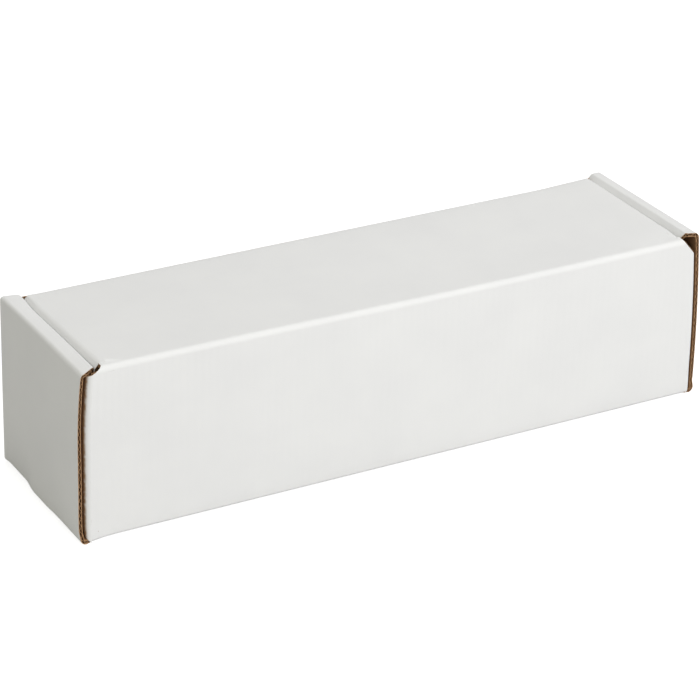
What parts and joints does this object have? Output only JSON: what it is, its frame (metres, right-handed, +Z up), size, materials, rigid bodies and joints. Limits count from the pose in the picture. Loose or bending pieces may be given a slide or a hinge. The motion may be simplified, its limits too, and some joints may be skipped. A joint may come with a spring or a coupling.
{
  "type": "corrugated mailer box",
  "caption": "Long white corrugated mailer folded from a single die-cut sheet, with rolled double end walls, corner flaps and a hinged lid that tucks in at the front.",
  "frame": {"origin": "middle of the base, on the surface that the box stands on", "axes": "+X along the length, +Z up, the hinge wall at -Y and the tuck front at +Y"},
  "size_m": [0.3244, 0.0846, 0.0838],
  "materials": {
    "white_board": "matt white outer liner, plain kraft inside and on the raw edges"
  },
  "bodies": {
    "tray": {"tray": "white_board"},
    "lid": {"lid": "white_board"}
  },
  "joints": [
    {"name": "lid_hinge", "type": "hinge", "parent": "tray", "child": "lid", "pos_m": [0, -0.04154, 0.08224], "axis": [1, 0, 0], "range_deg": [0, 180]}
  ]
}
